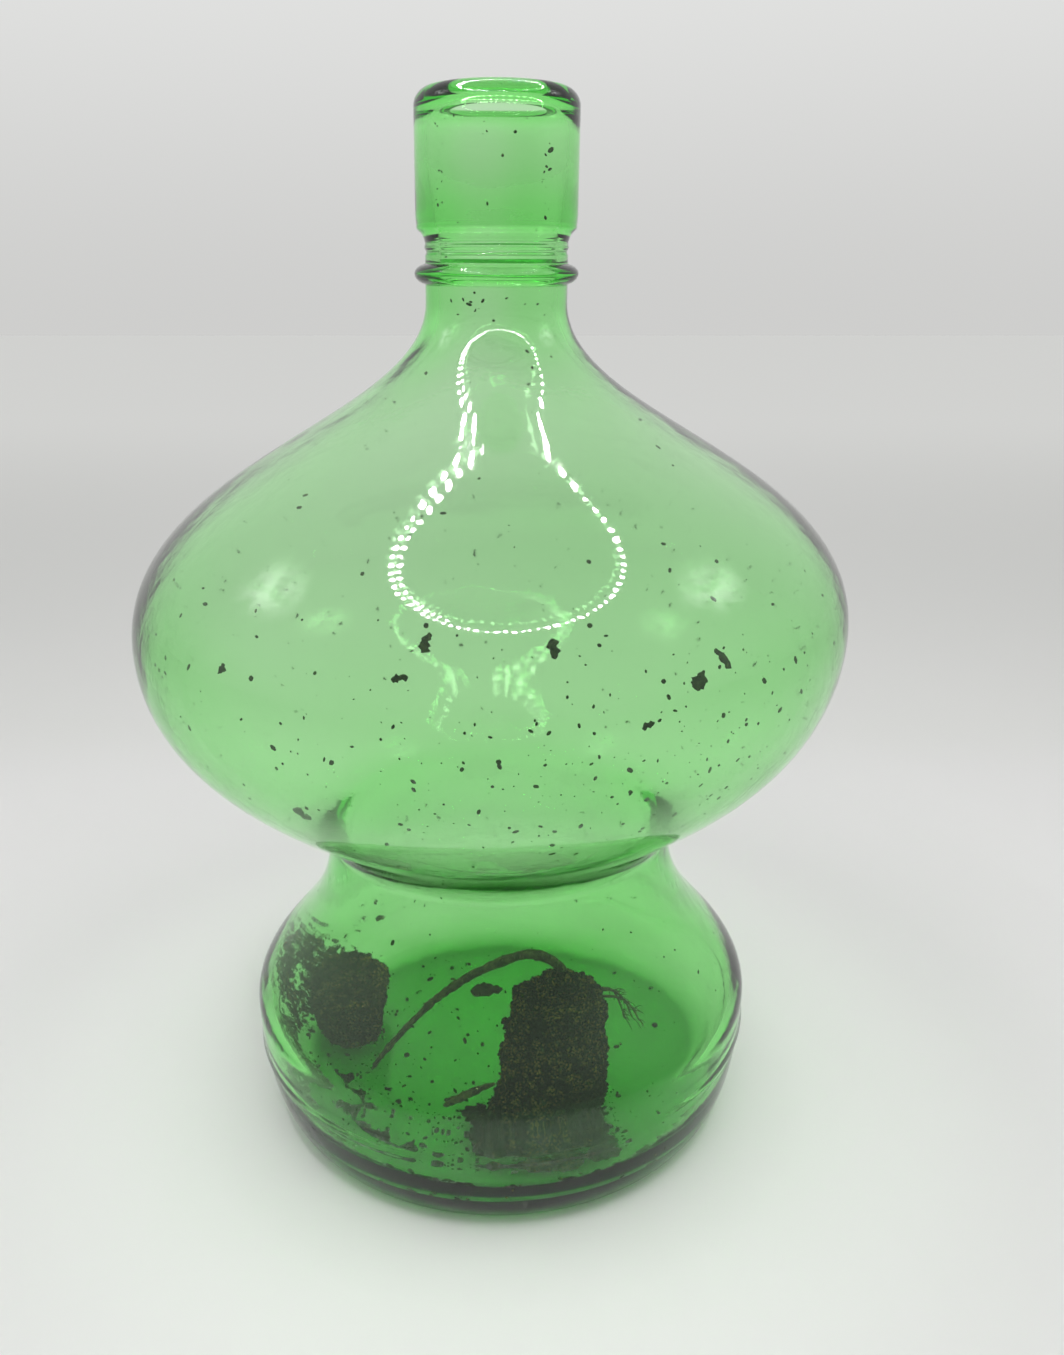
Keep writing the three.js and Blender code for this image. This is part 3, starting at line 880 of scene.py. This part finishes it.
def heap(middle, reach, rise, seed):
    """A slumped heap of soil on the floor, ragged at its edge. Gives points and faces."""
    rings, sides = 16, 56
    points, faces = [], []
    for level in (1, 0):
        points.append(middle + Vector((0, 0, rise * level)))
        for ring in range(1, rings + 1):
            share = ring / rings
            for side in range(sides):
                turn = 2 * math.pi * side / sides
                way = Vector((math.cos(turn), math.sin(turn), 0))
                edge = reach * (1 + 0.45 * noise.noise(way * 2.2 + Vector((seed, 0, 0))))
                lump = 1 + 0.5 * noise.noise((middle + way * edge * share) * 320)
                lift = rise * (1 - share) ** 1.3 * lump + 0.1 * MM
                points.append(middle + way * edge * share + Vector((0, 0, lift * level)))
    sheet = rings * sides + 1
    for side in range(sides):
        follow = (side + 1) % sides
        faces.append((0, side + 1, follow + 1))
        faces.append((sheet, sheet + follow + 1, sheet + side + 1))
        for ring in range(rings - 1):
            a, b = ring * sides + side + 1, ring * sides + follow + 1
            faces.append((a, a + sides, b + sides, b))
            faces.append((sheet + a, sheet + b, sheet + b + sides, sheet + a + sides))
        rim, rim_follow = (rings - 1) * sides + side + 1, (rings - 1) * sides + follow + 1
        faces.append((rim, rim + sheet, rim_follow + sheet, rim_follow))
    return points, faces


floor_top = Vector((0, 0, floor_thickness + 0.3 * MM))
slump_places = [
    (-0.9, -0.5, 0.55, 0.9),
    (-0.3, -0.92, 0.36, 0.3),
    (0.78, -0.66, 0.34, 0.4),
    (-1.35, -0.1, 0.3, 0.12),
    (0.2, -1.0, 0.26, 0.2),
]
slump_parts = []
for number, (right, back, reach, rise) in enumerate(slump_places):
    foot = Vector((plug_middle.x + right * plug_radius, plug_middle.y + back * plug_radius, 0)) + floor_top
    slump_parts.append(heap(foot, reach * plug_radius, rise * plug_radius, number * 3.1))
slump = shown("slumped_soil", upright_faces(together("slumped_soil", *slump_parts)))
slump.data.materials.append(peat)
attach(slump, "vessel")

litter = grown(
    "fine_litter",
    covered(floor_patch(40, 96, floor_radius - 1 * MM, floor_thickness + 0.5 * MM), litter_share),
    grain_tree,
    {
        "Grains per square metre": 260000,
        "Smallest": 0.25 * MM,
        "Largest": 1.4 * MM,
        "Thickness": 0.7,
        "Seed": 9,
    },
)
fine_litter = shown("fine_litter", litter)
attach(fine_litter, "vessel")

# ---- Flakes stuck to the glass -------------------------------------------------------------------
# Scraps of dead leaf that dried onto the inner wall of the bulb, curling off it at their edges.
def wall_scrap(turn, height, length, width, slant, curl, seed):
    inset = 0.5 * MM
    centre = inner_wall(turn, height, inset)
    level = (inner_wall(turn + 0.01, height, inset) - inner_wall(turn - 0.01, height, inset)).normalized()
    above, below = inner_wall(turn, height + 1 * MM, inset), inner_wall(turn, height - 1 * MM, inset)
    upward = (above - below).normalized()
    along = level * math.cos(slant) + upward * math.sin(slant)
    across = upward * math.cos(slant) - level * math.sin(slant)
    return scrap(centre, along, -across, length, width, curl, 0.3 * MM, seed)


flake_shapes = [
    (6.2, 3.2, 75, 0.18),
    (6.0, 2.8, 95, 0.1),
    (6.2, 4.6, 60, 0.1),
    (8.0, 2.2, 125, 0.3),
    (5.0, 2.2, 10, 0.3),
    (3.8, 2.2, 60, 0.2),
    (6.6, 2.6, -40, 0.3),
    (4.2, 1.9, 20, 0.35),
]
for number, (length, width, slant, curl) in enumerate(flake_shapes, 1):
    low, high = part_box(f"wall_flake_{number}")
    middle = (low + high) / 2
    turn = math.atan2(middle.y, middle.x - sway(middle.z))
    part = wall_scrap(turn, middle.z, length * MM, width * MM, math.radians(slant), curl, number + 40)
    flake = shown(f"leaf_flake_{number}", upright_faces(together(f"leaf_flake_{number}", part)))
    flake.data.materials.append(dead_leaf)
    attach(flake, "vessel")
    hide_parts(f"wall_flake_{number}")

# ---- Specks on the glass -------------------------------------------------------------------------
# Fine soil and leaf dust dried onto the inner wall, thickest low in the bulb and on the chamber's front.
speck_tree = scatter_tree("wall specks", dead_leaf)


def wall_patch(bottom, top, rows, sides):
    points, faces = [], []
    for row in range(rows + 1):
        height = bottom + (top - bottom) * row / rows
        points += [inner_wall(2 * math.pi * side / sides, height, 0.45 * MM) for side in range(sides)]
    for row in range(rows):
        for side in range(sides):
            a, b = row * sides + side, row * sides + (side + 1) % sides
            faces.append((a, a + sides, b + sides, b))
    mesh = bpy.data.meshes.new("wall patch")
    mesh.from_pydata(points, [], faces)
    return mesh


def bulge(value, middle, spread):
    return math.exp(-(((value - middle) / spread) ** 2))


def speck_share(place):
    front = math.degrees(math.atan2(place.x, -place.y))
    height = place.z / MM
    everywhere = 0.05
    low_bulb = bulge(height, 200, 32) * (0.15 + 0.85 * bulge(front, 24, 40))
    chamber = bulge(height, 64, 26) * (0.1 + 0.9 * bulge(front, -22, 38))
    neck = 5 * bulge(height, 328, 3) * bulge(front, -22, 20)
    drips = 2 * bulge(abs(front), 44, 5) * bulge(height, 368, 18)
    lip = 0.7 * bulge(height, 388, 6) * bulge(front, -20, 40)
    return everywhere + low_bulb + chamber + neck + drips + lip


specks = grown(
    "wall_specks",
    covered(wall_patch(22 * MM, 390 * MM, 180, 140), speck_share),
    speck_tree,
    {
        "Grains per square metre": 42000,
        "Smallest": 0.16 * MM,
        "Largest": 1.05 * MM,
        "Thickness": 0.3,
        "Seed": 4,
    },
)
wall_specks = shown("wall_specks", specks)
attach(wall_specks, "vessel")

# ---- Soil on the glass ---------------------------------------------------------------------------
# Soil that was wet once and dried onto the chamber wall, behind the lying plug and round the heel.
# Painted light: the soil on the wall takes the paler peat, lighter than the standing plug's, to make up for
# the shade it lies in.
film_tree = scatter_tree("wall soil", pale_peat)


def film_share(place):
    front = math.degrees(math.atan2(place.x, -place.y))
    height = place.z / MM
    blotch = max(0, 0.45 + 1.3 * noise.noise(place * 60))
    beside_plug = 2.2 * bulge(front, -98, 20) * bulge(height, 34, 15)
    below_plug = bulge(front, -70, 26) * bulge(height, 18, 7) * 1.5
    heel = 1.5 * bulge(height, 15, 4) * bulge(front, -34, 42)
    right_heel = 0.5 * bulge(height, 14, 3) * bulge(front, 38, 22)
    return min(1, (beside_plug + below_plug + heel + right_heel) * blotch)


film = grown(
    "wall_soil",
    covered(wall_patch(11.5 * MM, 70 * MM, 90, 200), film_share),
    film_tree,
    {
        "Grains per square metre": 1000000,
        "Smallest": 0.3 * MM,
        "Largest": 2.1 * MM,
        "Thickness": 0.35,
        "Seed": 12,
    },
)
wall_soil = shown("wall_soil", film)
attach(wall_soil, "vessel")

# ---- Studio --------------------------------------------------------------------------------------
# Pale paper under the vessel, with painted light and shade in its colour: a bright pool round the vessel,
# darker in front of it.
# A pale room, darker low down and towards the front, a soft box at each side and a ring lamp overhead.
paper, paper_place, paper_shader = new_material("studio paper")
from_vessel = paper_place.node("ShaderNodeVectorMath", {"operation": "LENGTH"}, {0: paper_place}, out="Value")
depth_back = paper_place.node("ShaderNodeSeparateXYZ", None, {0: paper_place}, out="Y")
# Painted light and shade in the paper's colour: a bright pool round the vessel stands in for the light that
# the glass keeps off the paper, a little darker just behind, lighter far behind, and painted darker in front
# of the vessel.
paper_and_painted_light = from_vessel.between(0.1, 0.26).mix((0.98, 0.98, 0.97, 1), (0.74, 0.735, 0.735, 1))
paper_and_painted_light = depth_back.between(0.29, 0.4).mix(paper_and_painted_light, (0.72, 0.72, 0.71, 1))
paper_and_painted_light = depth_back.between(0.6, 2.4).mix(paper_and_painted_light, (0.88, 0.88, 0.87, 1))
paper_and_painted_light = depth_back.between(-0.9, -0.22).mix((0.55, 0.55, 0.545, 1), paper_and_painted_light)
paper_place.feed(paper_shader, {"Base Color": paper_and_painted_light, "Roughness": 0.9, "Specular IOR Level": 0.1})
floor_mesh = bpy.data.meshes.new("studio_floor")
reach, floor_height = 6, -0.4 * MM
corners = [(-reach, -reach), (reach, -reach), (reach, reach), (-reach, reach)]
floor_mesh.from_pydata([(x, y, floor_height) for x, y in corners], [], [(0, 1, 2, 3)])
floor_mesh.materials.append(paper)
studio_floor = shown("studio_floor", floor_mesh)

world = bpy.data.worlds.new("studio")
world.use_nodes = True
room = Wire(world.node_tree)
way = room.node("ShaderNodeTexCoord", out="Generated")
rise = room.node("ShaderNodeSeparateXYZ", None, {0: way}, out="Z")
far_side = room.node("ShaderNodeSeparateXYZ", None, {0: way}, out="Y")
wall_tone = rise.between(-0.05, 0.3).mix((0.62, 0.62, 0.61, 1), (0.78, 0.785, 0.775, 1))
wall_tone = far_side.between(-0.85, -0.2).mix((0.47, 0.47, 0.465, 1), wall_tone)
room.feed(world.node_tree.nodes["Background"], {"Color": wall_tone, "Strength": 1.0})
bpy.context.scene.world = world


def soft_box(name, azimuth, elevation, distance, width, height, power):
    """A soft box that faces the bulb, brightest at its middle. Azimuth is round from +X."""
    light = bpy.data.lights.new(name, "AREA")
    light.shape, light.size, light.size_y, light.energy = "RECTANGLE", width, height, power
    light.use_nodes = True
    cloth = Wire(light.node_tree)
    spot = cloth.node("ShaderNodeNewGeometry", out="Parametric") - (0.5, 0.5, 0.0)
    off_middle = cloth.node("ShaderNodeVectorMath", {"operation": "LENGTH"}, {0: spot}, out="Value")
    folds = spot.noise(4, 3, 0.6).between(0.35, 0.6)
    glow = (1 - off_middle.between(0.05, 0.5)) * folds * 2.5
    cloth.feed(light.node_tree.nodes["Emission"], {"Strength": glow})
    lamp = shown(name, light)
    flat = distance * math.cos(elevation)
    away = Vector((flat * math.cos(azimuth), flat * math.sin(azimuth), distance * math.sin(elevation)))
    lamp.location = away + Vector((0, 0, bulb_height))
    lamp.rotation_euler = away.to_track_quat("Z", "Y").to_euler()


soft_box("left soft box", math.radians(180), math.radians(40), 1.0, 0.5, 0.45, 1)
soft_box("right soft box", math.radians(0), math.radians(40), 1.0, 0.5, 0.45, 1)
ring_lamp_middle = Vector((25 * MM, -138 * MM, 600 * MM))
ring_lamp_width, ring_lamp_depth, ring_beads = 190 * MM, 215 * MM, 64
for row, row_size, energy in (("outer", 1.0, 0.1), ("inner", 0.93, 0.05)):
    for bead in range(ring_beads):
        turn = 2 * math.pi * bead / ring_beads
        if row == "inner" and not 100 < math.degrees(turn) < 235:
            continue
        light = bpy.data.lights.new(f"ring lamp {row} {bead + 1}", "POINT")
        light.energy, light.shadow_soft_size = energy, 4 * MM
        lamp = shown(light.name, light)
        right, back = ring_lamp_width * math.cos(turn), ring_lamp_depth * math.sin(turn)
        lamp.location = ring_lamp_middle + Vector((right * row_size, back * row_size, 0))
bpy.context.scene.view_settings.view_transform = "Standard"
